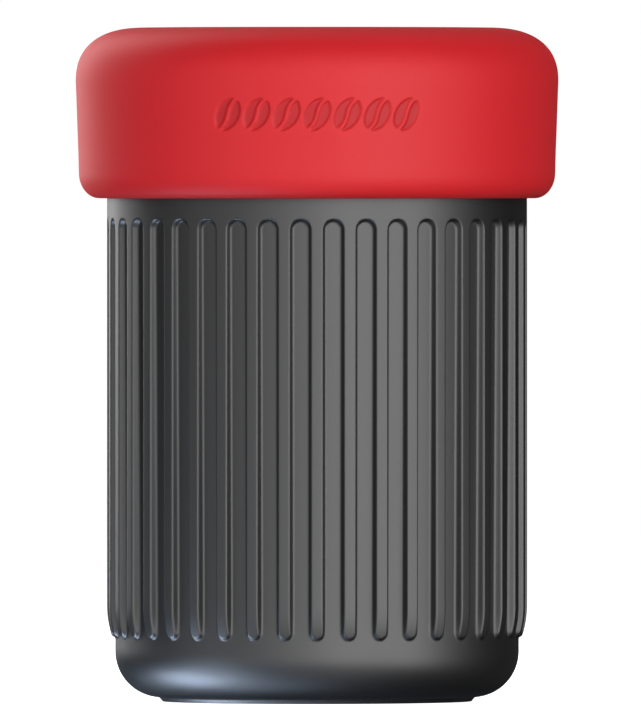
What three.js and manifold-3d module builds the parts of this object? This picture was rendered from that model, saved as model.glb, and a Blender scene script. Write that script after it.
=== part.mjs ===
// Travel coffee press packed in its own drinking mug: a ribbed mug with a stretch lid, and inside it the
// press standing on its plunger (brew chamber, plunger, seal, filter cap), a filter holder below it, and the
// scoop and folding stirrer inside the plunger. Millimetres, +Z up, origin at the centre of the mug's foot.
import * as THREE from "three";
import { mergeVertices } from "three/addons/utils/BufferGeometryUtils.js";
import Module from "manifold-3d";

const wasm = await Module();
wasm.setup();

// ---- driving dimensions ----

const TOTAL_HEIGHT = 137; // foot to top of the closed lid
const GAP = 0.3; // face-to-face gap between pieces that rest on each other
const WALL_STEPS = 40; // facets round the mug and lid, one for each rib
const TUBE_STEPS = 32; // facets round the press and the holder
const FULL_TURN = 2 * Math.PI;

// Mug: outer wall, ribs, rim and bore.
const RIB_COUNT = WALL_STEPS;
const RIB_RADIUS = 42.7;
const RIB_HALF_WIDTH = 1.3;
const RIB_FOOT = 12.8;
const RIB_BURIED = 1.4; // how far a rib runs into the wall behind it and into the band above it
const RIB_SET_BACK = 0.25; // keeps a rib's flat face inside the band's facets where they meet
const VALLEY_RADIUS = 41.4; // wall between the ribs, at its top
const VALLEY_TOP = 97.8;
const LOWER_WALL_RADIUS = 41.05;
const CORNER_RADIUS = 9.2;
const FOOT_RADIUS = 31.8;
const FOOT_HEIGHT = 0.9;
const MUG_FLOOR = 4.5;
const MUG_RIM = 116.8;
const BORE_TOP_RADIUS = 39.2;
const BORE_FLOOR_RADIUS = 37.4;
const BORE_CORNER = 3;
const SEAT_RADIUS = 41.1; // step inside the rim that takes the chamber's flange
const SEAT_LEVEL = 114;

// Lid: outer shell, hollow, ledge that rests on the mug's rim, and bead that grips the mug's wall.
const LID_RADIUS = 49.1;
const LID_HEM = 102.3;
const LID_HEM_RADIUS = 48.35;
const LID_HEM_WIDTH = 3.9;
const LID_HEM_HEIGHT = 5.4;
const LID_CORNER_LEVEL = 126.4;
const LID_FLAT_RADIUS = 36;
const LID_ROOF = 3.1;
const LID_POCKET_RADIUS = 45.6;
const LEDGE_RADIUS = 40.6;
const LEDGE_LEVEL = MUG_RIM + GAP;
const BEAD_RADIUS = RIB_RADIUS + 0.35;
const BEAD_HEIGHT = 4.3;

// Chamber and its lugs for the cap.
const CHAMBER_BORE = 30;
const CHAMBER_RADIUS = 32.2;
const CHAMBER_MOUTH = 22; // the lowest edge of the chamber, which is packed mouth down
const CHAMBER_END = 131.2;
const FLANGE_RADIUS = SEAT_RADIUS - 0.4;
const FLANGE_THICKNESS = 2.2;
const NECK_RADIUS = 33;
const LUG_COUNT = 6;
const LUG_ARC = THREE.MathUtils.degToRad(18);
const LUG_HEIGHT = 2.2;
const CHAMBER_LUG_LEVEL = 126;

// Filter cap, packed with its lugs between the chamber's, and the papers.
const CAP_RADIUS = 37;
const CAP_BORE = 34.9;
const CAP_HEM = 120.9;
const CAP_TOP = CHAMBER_END + 2.3;
const CAP_PLATE = 1.4;
const CAP_PLATE_RADIUS = 29;
const CAP_LUG_LEVEL = CHAMBER_LUG_LEVEL - LUG_HEIGHT - 1.2;
const CAP_HOLE_RADIUS = 0.95;
const CAP_HOLE_PITCH = 5.6;
const CAP_HOLE_RINGS = 4;
const PAPER_RADIUS = 31.8;
const STACK_HEIGHT = 2.4;

// Filter holder.
const TRAY_RADIUS = 35;
const TRAY_WALL = 1.5;
const TRAY_FOOT = MUG_FLOOR + GAP;
const TRAY_TOP = 10.6;
const PUSH_HOLE_RADIUS = 9;
const COVER_LEVEL = TRAY_TOP + GAP;
const COVER_TOP = COVER_LEVEL + 1.8;
const COVER_RING_RADIUS = TRAY_RADIUS - TRAY_WALL - 0.4;
const SPIGOT_HEIGHT = 4.8;

// Plunger, which stands on the holder's cover, and its seal.
const PLUNGER_RADIUS = 28.2;
const PLUNGER_BORE = 25.8;
const PLUNGER_FOOT = COVER_TOP + GAP;
const PLUNGER_END = 124;
const PLUNGER_FLANGE_RADIUS = 36;
const PLUNGER_FLANGE_THICKNESS = 2.4;
const SEAL_FOOT = 112.8;
const SEAL_FACE = CHAMBER_END - 1.9;
const SEAL_RADIUS = CHAMBER_BORE - 0.45;
const SEAL_NECK_RADIUS = 24.8;
const SEAL_LIP_RADIUS = 26.6;
const SEAL_LIP_LEVEL = PLUNGER_END - 4.1;

// Scoop and stirrer, which stand inside the plunger.
const TOOL_FOOT = PLUNGER_FOOT;
const SCOOP_MOUTH_RADIUS = 20;
const SCOOP_BASE_RADIUS = 16.5;
const SCOOP_DEPTH = 28;
const SCOOP_WALL = 1.5;
const SCOOP_Y = -15;
const GRIP_LENGTH = 52;
const GRIP_HALF_WIDTH = 4.5;
const GRIP_THICKNESS = 2.4;
const STIRRER_Y = 18.6;
const STIRRER_LENGTH = 88; // folded, from the pivot to the far end
const BLADE_GAP = 0.9; // between the two folded blades
const HANDLE_THICKNESS = 2.6;
const PADDLE_THICKNESS = 2.4;
const EYE_RADIUS = 3.2;
const TONGUE_HALF_WIDTH = 1.9;
const FORK_INNER = TONGUE_HALF_WIDTH + 0.4;
const FORK_OUTER = 4.5;
const PIN_RADIUS = 1.5;
const PIN_BORE_RADIUS = PIN_RADIUS + 0.3;

// ---- from three.js geometry to manifold-3d solids and back ----

function solidOf(geometry) {
  const bare = new THREE.BufferGeometry().setAttribute("position", geometry.getAttribute("position"));
  bare.setIndex(geometry.index);
  const merged = mergeVertices(bare, 1e-4);
  const corners = merged.index.array;
  const triangles = [];
  for (let i = 0; i < corners.length; i += 3) {
    const [a, b, c] = corners.slice(i, i + 3);
    if (a !== b && b !== c && a !== c) triangles.push(a, b, c);
  }
  const vertProperties = merged.attributes.position.array;
  const triVerts = new Uint32Array(triangles);
  return new wasm.Manifold(new wasm.Mesh({ numProp: 3, vertProperties, triVerts }));
}

function geometryOf(solid) {
  const mesh = solid.getMesh();
  const geometry = new THREE.BufferGeometry();
  geometry.setAttribute("position", new THREE.BufferAttribute(mesh.vertProperties, 3));
  geometry.setIndex(new THREE.BufferAttribute(mesh.triVerts, 1));
  return geometry;
}

function joined(first, ...others) {
  return others.reduce((sum, other) => sum.add(other), first);
}

// Count copies of a solid about Z, a full turn in all.
function around(solid, count) {
  return Array.from({ length: count }, (_, i) => solid.rotate([0, 0, (360 * i) / count]));
}

// ---- shapes ----

// Points of an elliptical arc about [r, z], from one angle to another in degrees, both ends included.
function arc([r, z], [radiusR, radiusZ], [from, to], steps) {
  return Array.from({ length: steps + 1 }, (_, i) => {
    const angle = THREE.MathUtils.degToRad(from + ((to - from) * i) / steps);
    return [r + radiusR * Math.cos(angle), z + radiusZ * Math.sin(angle)];
  });
}

// A solid of revolution about Z. The outline is [radius, z] pairs, counter-clockwise, and closes on itself
// when it doesn't start on the axis.
function turned(outline, steps) {
  const points = outline.map(([r, z]) => new THREE.Vector2(r, z));
  if (outline[0][0] > 0) points.push(points[0].clone());
  return solidOf(new THREE.LatheGeometry(points, steps).rotateX(Math.PI / 2));
}

// A flat shape in X and Y, from z = foot up to foot + height.
function slab(shape, foot, height, curveSegments) {
  const options = { depth: height, bevelEnabled: false, curveSegments };
  return solidOf(new THREE.ExtrudeGeometry(shape, options).translate(0, 0, foot));
}

// A flat shape in X and Z, from y = near to y = far.
function upright(shape, near, far, curveSegments) {
  const options = { depth: far - near, bevelEnabled: false, curveSegments };
  return solidOf(new THREE.ExtrudeGeometry(shape, options).rotateX(Math.PI / 2).translate(0, far, 0));
}

// Part of a ring between two radii, centred on +X.
function ringSector(inner, outer, span, foot, height) {
  const shape = new THREE.Shape();
  shape.absarc(0, 0, outer, -span / 2, span / 2, false);
  shape.absarc(0, 0, inner, span / 2, -span / 2, true);
  return slab(shape, foot, height, 3);
}

function roundHole(x, y, radius) {
  return new THREE.Path().absarc(x, y, radius, 0, FULL_TURN, true);
}

// ---- mug and lid ----

// One rib seen from outside: straight, with a round foot, and running up into the plain band above it.
function ribOutline() {
  const outline = new THREE.Shape();
  outline.absarc(0, RIB_FOOT + RIB_HALF_WIDTH, RIB_HALF_WIDTH, Math.PI, FULL_TURN, false);
  outline.lineTo(RIB_HALF_WIDTH, VALLEY_TOP + RIB_BURIED);
  outline.lineTo(-RIB_HALF_WIDTH, VALLEY_TOP + RIB_BURIED);
  return outline;
}

function makeMug() {
  const footRecess = 0.7;
  const cornerCentre = [LOWER_WALL_RADIUS - CORNER_RADIUS, FOOT_HEIGHT + CORNER_RADIUS];
  const boreCornerCentre = [BORE_FLOOR_RADIUS - BORE_CORNER, MUG_FLOOR + BORE_CORNER];
  const body = turned(
    [
      [0, footRecess],
      [FOOT_RADIUS - 3.3, footRecess],
      [FOOT_RADIUS - 2.6, 0],
      [FOOT_RADIUS - 0.4, 0],
      [FOOT_RADIUS, FOOT_HEIGHT],
      ...arc(cornerCentre, [CORNER_RADIUS, CORNER_RADIUS], [-86, 0], 6),
      [VALLEY_RADIUS, VALLEY_TOP - 0.4],
      [RIB_RADIUS, VALLEY_TOP + 0.4],
      [RIB_RADIUS, MUG_RIM - 0.7],
      [RIB_RADIUS - 0.5, MUG_RIM],
      [SEAT_RADIUS, MUG_RIM],
      [SEAT_RADIUS, SEAT_LEVEL],
      [BORE_TOP_RADIUS, SEAT_LEVEL],
      ...arc(boreCornerCentre, [BORE_CORNER, BORE_CORNER], [0, -90], 3),
      [0, MUG_FLOOR],
    ],
    WALL_STEPS,
  );
  const rib = upright(ribOutline(), RIB_SET_BACK - RIB_RADIUS, RIB_BURIED - VALLEY_RADIUS, 3);
  return joined(body, ...around(rib, RIB_COUNT));
}

function makeLid() {
  const ceiling = TOTAL_HEIGHT - LID_ROOF;
  const ledgeThickness = 1.8;
  const corner = [LID_RADIUS - LID_FLAT_RADIUS, TOTAL_HEIGHT - LID_CORNER_LEVEL];
  const pocketCorner = [LID_POCKET_RADIUS - LID_FLAT_RADIUS, ceiling - LID_CORNER_LEVEL];
  const hemCentre = [LID_HEM_RADIUS - LID_HEM_WIDTH, LID_HEM + LID_HEM_HEIGHT];
  return turned(
    [
      [0, ceiling],
      ...arc([LID_FLAT_RADIUS, LID_CORNER_LEVEL], pocketCorner, [90, 0], 4),
      [LID_POCKET_RADIUS, LEDGE_LEVEL + ledgeThickness + 0.5],
      [LEDGE_RADIUS, LEDGE_LEVEL + ledgeThickness],
      [LEDGE_RADIUS, LEDGE_LEVEL],
      [LID_POCKET_RADIUS, LEDGE_LEVEL],
      [LID_POCKET_RADIUS, LID_HEM + BEAD_HEIGHT + 2.5],
      [BEAD_RADIUS, LID_HEM + BEAD_HEIGHT + 0.6],
      [BEAD_RADIUS, LID_HEM + 0.6],
      [BEAD_RADIUS + 0.4, LID_HEM],
      ...arc(hemCentre, [LID_HEM_WIDTH, LID_HEM_HEIGHT], [-90, 0], 4),
      ...arc([LID_FLAT_RADIUS, LID_CORNER_LEVEL], corner, [0, 90], 6),
      [0, TOTAL_HEIGHT],
    ],
    WALL_STEPS,
  );
}

// ---- press ----

// A tube with a flange that hangs in the mug's rim, and above it a neck with lugs for the filter cap.
function makeChamber() {
  const flangeFoot = SEAT_LEVEL + GAP;
  const flangeTop = flangeFoot + FLANGE_THICKNESS;
  const edge = 0.6;
  const tube = turned(
    [
      [CHAMBER_BORE + edge, CHAMBER_MOUTH],
      [CHAMBER_RADIUS, CHAMBER_MOUTH],
      [CHAMBER_RADIUS, flangeFoot - 1.3],
      [CHAMBER_RADIUS + 1.3, flangeFoot],
      [FLANGE_RADIUS, flangeFoot],
      [FLANGE_RADIUS, flangeTop],
      [NECK_RADIUS + edge, flangeTop],
      [NECK_RADIUS, flangeTop + edge],
      [NECK_RADIUS, CHAMBER_END - edge],
      [NECK_RADIUS - edge, CHAMBER_END],
      [CHAMBER_BORE + edge, CHAMBER_END],
      [CHAMBER_BORE, CHAMBER_END - edge],
      [CHAMBER_BORE, CHAMBER_MOUTH + edge],
    ],
    TUBE_STEPS,
  );
  const lug = ringSector(NECK_RADIUS - 1, CAP_BORE - 0.6, LUG_ARC, CHAMBER_LUG_LEVEL, LUG_HEIGHT);
  return joined(tube, ...around(lug, LUG_COUNT));
}

// A tube standing on its flange, open below. Its closed upper end has a neck and a lip that hold the seal.
function makePlungerTube() {
  const flangeTop = PLUNGER_FOOT + PLUNGER_FLANGE_THICKNESS;
  const neckBore = 22.4;
  const endPlate = 2.5;
  const edge = 0.6;
  return turned(
    [
      [PLUNGER_BORE + edge, PLUNGER_FOOT],
      [PLUNGER_FLANGE_RADIUS - edge, PLUNGER_FOOT],
      [PLUNGER_FLANGE_RADIUS, PLUNGER_FOOT + edge],
      [PLUNGER_FLANGE_RADIUS, flangeTop],
      [PLUNGER_RADIUS + 1, flangeTop],
      [PLUNGER_RADIUS, flangeTop + 1],
      [PLUNGER_RADIUS, SEAL_FOOT - GAP],
      [SEAL_NECK_RADIUS, SEAL_FOOT - GAP],
      [SEAL_NECK_RADIUS, SEAL_LIP_LEVEL - 0.4],
      [SEAL_LIP_RADIUS, SEAL_LIP_LEVEL],
      [SEAL_LIP_RADIUS, PLUNGER_END - edge],
      [SEAL_LIP_RADIUS - edge, PLUNGER_END],
      [0, PLUNGER_END],
      [0, PLUNGER_END - endPlate],
      [neckBore, PLUNGER_END - endPlate],
      [neckBore, SEAL_FOOT - 0.8],
      [PLUNGER_BORE, SEAL_FOOT - 3.8],
      [PLUNGER_BORE, PLUNGER_FOOT + edge],
    ],
    TUBE_STEPS,
  );
}

// Rubber cup that snaps over the plunger's lip and wipes the chamber's bore.
function makePlungerSeal() {
  const lipClearance = 0.35;
  return turned(
    [
      [0, PLUNGER_END + GAP],
      [SEAL_LIP_RADIUS + lipClearance, PLUNGER_END + GAP],
      [SEAL_LIP_RADIUS + lipClearance, SEAL_LIP_LEVEL - 0.7],
      [SEAL_NECK_RADIUS + lipClearance, SEAL_LIP_LEVEL - 1.1],
      [SEAL_NECK_RADIUS + lipClearance, SEAL_FOOT],
      [SEAL_RADIUS - 1, SEAL_FOOT],
      [SEAL_RADIUS - 0.5, SEAL_FOOT + 1.2],
      [SEAL_RADIUS - 0.5, SEAL_FOOT + 5.4],
      [SEAL_RADIUS, SEAL_FOOT + 7.2],
      [SEAL_RADIUS, SEAL_FACE - 2],
      [SEAL_RADIUS - 1.2, SEAL_FACE],
      [0, SEAL_FACE],
    ],
    TUBE_STEPS,
  );
}

// ---- filter cap, papers and their holder ----

// Centres of a hexagonal grid of holes, out to a number of rings.
function holeCentres() {
  const centres = [];
  for (let q = -CAP_HOLE_RINGS; q <= CAP_HOLE_RINGS; q++) {
    for (let r = -CAP_HOLE_RINGS; r <= CAP_HOLE_RINGS; r++) {
      const inside = Math.abs(q + r) <= CAP_HOLE_RINGS;
      if (inside) centres.push([CAP_HOLE_PITCH * (q + r / 2), CAP_HOLE_PITCH * r * Math.sin(Math.PI / 3)]);
    }
  }
  return centres;
}

function makeFilterCap() {
  const plateFoot = CAP_TOP - CAP_PLATE;
  const skirt = turned(
    [
      [CAP_PLATE_RADIUS, plateFoot],
      [CAP_BORE, plateFoot],
      [CAP_BORE, CAP_HEM + 0.5],
      [CAP_BORE + 0.5, CAP_HEM],
      [CAP_RADIUS, CAP_HEM],
      [CAP_RADIUS, CAP_TOP - 1.6],
      [CAP_RADIUS - 1.8, CAP_TOP],
      [CAP_PLATE_RADIUS, CAP_TOP],
    ],
    TUBE_STEPS,
  );
  const disc = new THREE.Shape();
  disc.absarc(0, 0, CAP_PLATE_RADIUS + 0.5, 0, FULL_TURN, false);
  disc.holes = holeCentres().map(([x, y]) => roundHole(x, y, CAP_HOLE_RADIUS));
  const lug = ringSector(NECK_RADIUS + 0.5, CAP_BORE + 1, LUG_ARC, CAP_LUG_LEVEL, LUG_HEIGHT);
  const lugs = around(lug.rotate([0, 0, 180 / LUG_COUNT]), LUG_COUNT);
  return joined(skirt, slab(disc, plateFoot, CAP_PLATE, 3), ...lugs);
}

function makePaper(foot, thickness) {
  const top = foot + thickness;
  return turned([[0, foot], [PAPER_RADIUS, foot], [PAPER_RADIUS, top], [0, top]], TUBE_STEPS);
}

// Shallow tray with a push-out hole in its floor.
function makeHolderTray() {
  const floorTop = TRAY_FOOT + TRAY_WALL;
  return turned(
    [
      [PUSH_HOLE_RADIUS, TRAY_FOOT],
      [TRAY_RADIUS - 1.7, TRAY_FOOT],
      [TRAY_RADIUS, TRAY_FOOT + 1.6],
      [TRAY_RADIUS, TRAY_TOP],
      [TRAY_RADIUS - TRAY_WALL, TRAY_TOP],
      [TRAY_RADIUS - TRAY_WALL, floorTop],
      [PUSH_HOLE_RADIUS, floorTop],
    ],
    TUBE_STEPS,
  );
}

// Cover with a locating ring below and a spigot above that plugs the plunger's mouth.
function makeHolderCover() {
  const ringFoot = COVER_LEVEL - 1.3;
  const spigotRadius = PLUNGER_BORE - 0.5;
  const spigotTop = COVER_TOP + SPIGOT_HEIGHT;
  return turned(
    [
      [0, COVER_LEVEL],
      [COVER_RING_RADIUS - 1, COVER_LEVEL],
      [COVER_RING_RADIUS - 1, ringFoot],
      [COVER_RING_RADIUS, ringFoot],
      [COVER_RING_RADIUS, COVER_LEVEL],
      [TRAY_RADIUS, COVER_LEVEL],
      [TRAY_RADIUS - 0.2, COVER_TOP],
      [spigotRadius, COVER_TOP],
      [spigotRadius - 0.4, spigotTop],
      [spigotRadius - 1.6, spigotTop],
      [spigotRadius - 1.6, COVER_TOP],
      [0, COVER_TOP],
    ],
    TUBE_STEPS,
  );
}

// ---- scoop ----

// Tapered bowl with its mouth facing -Y, and a flat grip rising from its rim.
function makeScoop() {
  const outer = (y) => SCOOP_MOUTH_RADIUS + ((SCOOP_BASE_RADIUS - SCOOP_MOUTH_RADIUS) * y) / SCOOP_DEPTH;
  const bowl = turned(
    [
      [0, SCOOP_DEPTH - SCOOP_WALL],
      [outer(SCOOP_DEPTH) - SCOOP_WALL - 1, SCOOP_DEPTH - SCOOP_WALL],
      [outer(SCOOP_DEPTH) - SCOOP_WALL, SCOOP_DEPTH - SCOOP_WALL - 1],
      [outer(0) - SCOOP_WALL, 0],
      [outer(0), 0],
      [outer(SCOOP_DEPTH - 1.5), SCOOP_DEPTH - 1.5],
      [outer(SCOOP_DEPTH) - 1.5, SCOOP_DEPTH],
      [0, SCOOP_DEPTH],
    ],
    24,
  ).rotate([-90, 0, 0]);
  const root = SCOOP_MOUTH_RADIUS - 1;
  const flare = 8;
  const grip = new THREE.Shape();
  grip.moveTo(-GRIP_HALF_WIDTH - 2, root);
  grip.lineTo(GRIP_HALF_WIDTH + 2, root);
  grip.lineTo(GRIP_HALF_WIDTH, root + flare);
  grip.absarc(0, root + GRIP_LENGTH - GRIP_HALF_WIDTH, GRIP_HALF_WIDTH, 0, Math.PI, false);
  grip.lineTo(-GRIP_HALF_WIDTH, root + flare);
  return joined(bowl, upright(grip, 0, GRIP_THICKNESS, 4));
}

// ---- stirrer, folded, with its pivot along X at the origin ----

// A blade hanging from the pivot: narrow at the pivot and round at its far end.
function bladeOutline(halfWidth, neckHalfWidth) {
  const neckEnd = -12;
  const shoulder = -20;
  const blade = new THREE.Shape();
  blade.moveTo(-neckHalfWidth, 0);
  blade.lineTo(-neckHalfWidth, neckEnd);
  blade.lineTo(-halfWidth, shoulder);
  blade.absarc(0, -STIRRER_LENGTH + halfWidth, halfWidth, Math.PI, FULL_TURN, false);
  blade.lineTo(halfWidth, shoulder);
  blade.lineTo(neckHalfWidth, neckEnd);
  blade.lineTo(neckHalfWidth, 0);
  return blade;
}

// A round bar along X.
function bar(radius, length, sides) {
  return solidOf(new THREE.CylinderGeometry(radius, radius, length, sides).rotateZ(Math.PI / 2));
}

// Handle blade with a forked end.
function makeStirrerHandle() {
  const inner = -BLADE_GAP / 2;
  const blade = upright(bladeOutline(5.5, FORK_OUTER), inner - HANDLE_THICKNESS, inner, 6);
  const slotDepth = 2 * EYE_RADIUS + 1;
  const slot = solidOf(new THREE.BoxGeometry(2 * FORK_INNER, slotDepth, slotDepth));
  return joined(blade, bar(EYE_RADIUS, 2 * FORK_OUTER, 20))
    .subtract(slot)
    .subtract(bar(PIN_BORE_RADIUS, 3 * FORK_OUTER, 16));
}

// Paddle blade with a tongue that turns between the handle's fork.
function makeStirrerPaddle() {
  const inner = BLADE_GAP / 2;
  const blade = upright(bladeOutline(6, TONGUE_HALF_WIDTH), inner, inner + PADDLE_THICKNESS, 6);
  return joined(blade, bar(EYE_RADIUS, 2 * TONGUE_HALF_WIDTH, 20))
    .subtract(bar(PIN_BORE_RADIUS, 3 * FORK_OUTER, 16));
}

// ---- materials and assembly ----

const plastic = (color, roughness) => new THREE.MeshStandardMaterial({ color, roughness, metalness: 0 });
const mugGrey = plastic(0x3a3b3d, 0.42);
const lidRed = plastic(0xdf2b33, 0.6);
const smoke = plastic(0x6f7378, 0.2);
smoke.transparent = true;
smoke.opacity = 0.55;
const black = plastic(0x1c1c1e, 0.5);
const rubber = plastic(0x151516, 0.8);
const paper = plastic(0xf3efe6, 0.95);

function piece(name, solid, material) {
  const mesh = new THREE.Mesh(geometryOf(solid), material);
  mesh.name = name;
  return mesh;
}

function groupAt(y, z, ...pieces) {
  const group = new THREE.Group();
  group.position.set(0, y, z);
  group.add(...pieces);
  return group;
}

const press = groupAt(
  0,
  0,
  piece("chamber", makeChamber(), smoke),
  piece("plunger_tube", makePlungerTube(), smoke),
  piece("plunger_seal", makePlungerSeal(), rubber),
  piece("cap_filter", makePaper(CHAMBER_END + GAP, GAP), paper),
  piece("filter_cap", makeFilterCap(), black),
);

const holder = groupAt(
  0,
  0,
  piece("filter_holder_tray", makeHolderTray(), black),
  piece("spare_filters", makePaper(TRAY_FOOT + TRAY_WALL + GAP, STACK_HEIGHT), paper),
  piece("filter_holder_cover", makeHolderCover(), black),
);

const scoop = groupAt(SCOOP_Y, TOOL_FOOT + SCOOP_MOUTH_RADIUS, piece("scoop", makeScoop(), black));

const stirrer = groupAt(
  STIRRER_Y,
  TOOL_FOOT + STIRRER_LENGTH,
  piece("stirrer_handle", makeStirrerHandle(), black),
  piece("stirrer_paddle", makeStirrerPaddle(), black),
  piece("stirrer_pin", bar(PIN_RADIUS, 2 * FORK_OUTER + 0.6, 12), black),
);

const kit = new THREE.Group();
kit.add(piece("mug", makeMug(), mugGrey), piece("lid", makeLid(), lidRed), press, holder, scoop, stirrer);

export default kit;
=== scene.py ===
import math

import bmesh
import bpy
from mathutils import Matrix, Vector


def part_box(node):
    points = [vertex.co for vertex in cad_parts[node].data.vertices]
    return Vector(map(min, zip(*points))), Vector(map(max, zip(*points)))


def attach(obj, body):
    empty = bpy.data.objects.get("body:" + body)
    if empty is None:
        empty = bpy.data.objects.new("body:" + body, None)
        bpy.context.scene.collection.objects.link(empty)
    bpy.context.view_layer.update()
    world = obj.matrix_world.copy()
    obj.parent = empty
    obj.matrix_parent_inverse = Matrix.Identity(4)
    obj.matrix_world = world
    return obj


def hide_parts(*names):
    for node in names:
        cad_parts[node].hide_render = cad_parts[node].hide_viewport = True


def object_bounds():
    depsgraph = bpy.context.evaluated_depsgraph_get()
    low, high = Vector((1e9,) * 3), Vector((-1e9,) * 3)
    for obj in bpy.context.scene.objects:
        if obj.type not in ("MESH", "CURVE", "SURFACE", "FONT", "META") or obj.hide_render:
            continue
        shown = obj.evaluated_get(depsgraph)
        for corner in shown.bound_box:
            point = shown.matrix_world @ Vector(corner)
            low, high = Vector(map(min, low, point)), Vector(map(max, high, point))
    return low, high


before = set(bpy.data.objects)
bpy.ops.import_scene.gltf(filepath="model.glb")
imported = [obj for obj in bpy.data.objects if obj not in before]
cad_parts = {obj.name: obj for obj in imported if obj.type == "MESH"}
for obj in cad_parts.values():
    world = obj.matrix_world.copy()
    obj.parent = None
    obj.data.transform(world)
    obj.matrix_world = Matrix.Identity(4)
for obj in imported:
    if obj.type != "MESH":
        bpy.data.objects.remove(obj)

cad_low, cad_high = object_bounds()


# ---- Mug ----
# The drinking mug is one moulding in charcoal polypropylene: a plain rim band, forty grip ribs that
# end round above a plain base, and a thin foot ring. It is satin, with a fine grain and scuffs.

MM = 0.001
RIBS = 40
RIB_PITCH = 2 * math.pi / RIBS
RIB_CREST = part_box("mug")[1].x / MM
MUG_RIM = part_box("mug")[1].z / MM
RIB_HALF_WIDTH = 1.4
RIB_FLANK = 0.45
HALF_PITCH = RIB_CREST * RIB_PITCH / 2
VALLEY_HALF_WIDTH = HALF_PITCH - RIB_HALF_WIDTH
RIB_FOOT = 13.1
VALLEY_TOP = 97.9
COLUMNS_PER_RIB = 24
WALL_OUTSIDE = 40.9
SHARP_EDGE = math.radians(42)


def arc(centre, radii, degrees, steps):
    """Points of part of an ellipse about (radius, height), both ends included."""
    start, end = degrees
    turns = [math.radians(start + (end - start) * i / steps) for i in range(steps + 1)]
    return [(centre[0] + radii[0] * math.cos(a), centre[1] + radii[1] * math.sin(a)) for a in turns]


def straight(start, end, steps):
    """Points of a straight run, both ends included."""
    return [tuple(a + (b - a) * i / steps for a, b in zip(start, end)) for i in range(steps + 1)]


def spun(outline, columns, ring=False):
    """A mesh turned about Z from (radius, height) points in millimetres.

    A ring's outline closes on itself. One wedge is turned first and then repeated, so columns is a
    multiple of the wedges."""
    wedges = 20
    mesh = bmesh.new()
    corners = [mesh.verts.new((radius * MM, 0, height * MM)) for radius, height in outline]
    pairs = list(zip(corners, corners[1:]))
    if ring:
        pairs.append((corners[-1], corners[0]))
    edges = [mesh.edges.new(pair) for pair in pairs]
    bmesh.ops.spin(
        mesh, geom=corners + edges, cent=(0, 0, 0), axis=(0, 0, 1), angle=2 * math.pi / wedges,
        steps=columns // wedges, use_merge=False, use_duplicate=False,
    )
    wedge = mesh.verts[:] + mesh.edges[:] + mesh.faces[:]
    bmesh.ops.spin(
        mesh, geom=wedge, cent=(0, 0, 0), axis=(0, 0, 1), angle=2 * math.pi * (1 - 1 / wedges),
        steps=wedges - 1, use_merge=False, use_duplicate=True,
    )
    bmesh.ops.remove_doubles(mesh, verts=mesh.verts, dist=0.0005 * MM)
    bmesh.ops.recalc_face_normals(mesh, faces=mesh.faces)
    return mesh


def smoothly(x):
    """Eases from 0 to 1 as x goes from 0 to 1."""
    x = min(max(x, 0), 1)
    return x * x * (3 - 2 * x)


def make_piece(name, mesh, finish, body, node):
    """Turns a bmesh into a smooth-shaded piece that rides on a body and stands for a CAD node."""
    for face in mesh.faces:
        face.smooth = True
    for edge in mesh.edges:
        edge.smooth = edge.calc_face_angle(0) < SHARP_EDGE
    data = bpy.data.meshes.new(name)
    mesh.to_mesh(data)
    mesh.free()
    data.materials.append(finish.material)
    piece = bpy.data.objects.new(name, data)
    bpy.context.scene.collection.objects.link(piece)
    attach(piece, body)
    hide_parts(node)


class Varying:
    """A number that varies over a surface. Arithmetic on it adds Math nodes."""

    def __init__(self, finish, socket):
        self.finish = finish
        self.socket = socket

    def math(self, operation, first, second):
        node = self.finish.node("ShaderNodeMath", {"operation": operation}, {0: first, 1: second})
        return Varying(self.finish, node.outputs[0])

    def __add__(self, other):
        return self.math("ADD", self, other)

    def __radd__(self, other):
        return self.math("ADD", other, self)

    def __sub__(self, other):
        return self.math("SUBTRACT", self, other)

    def __rsub__(self, other):
        return self.math("SUBTRACT", other, self)

    def __mul__(self, other):
        return self.math("MULTIPLY", self, other)

    def __rmul__(self, other):
        return self.math("MULTIPLY", other, self)


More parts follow.
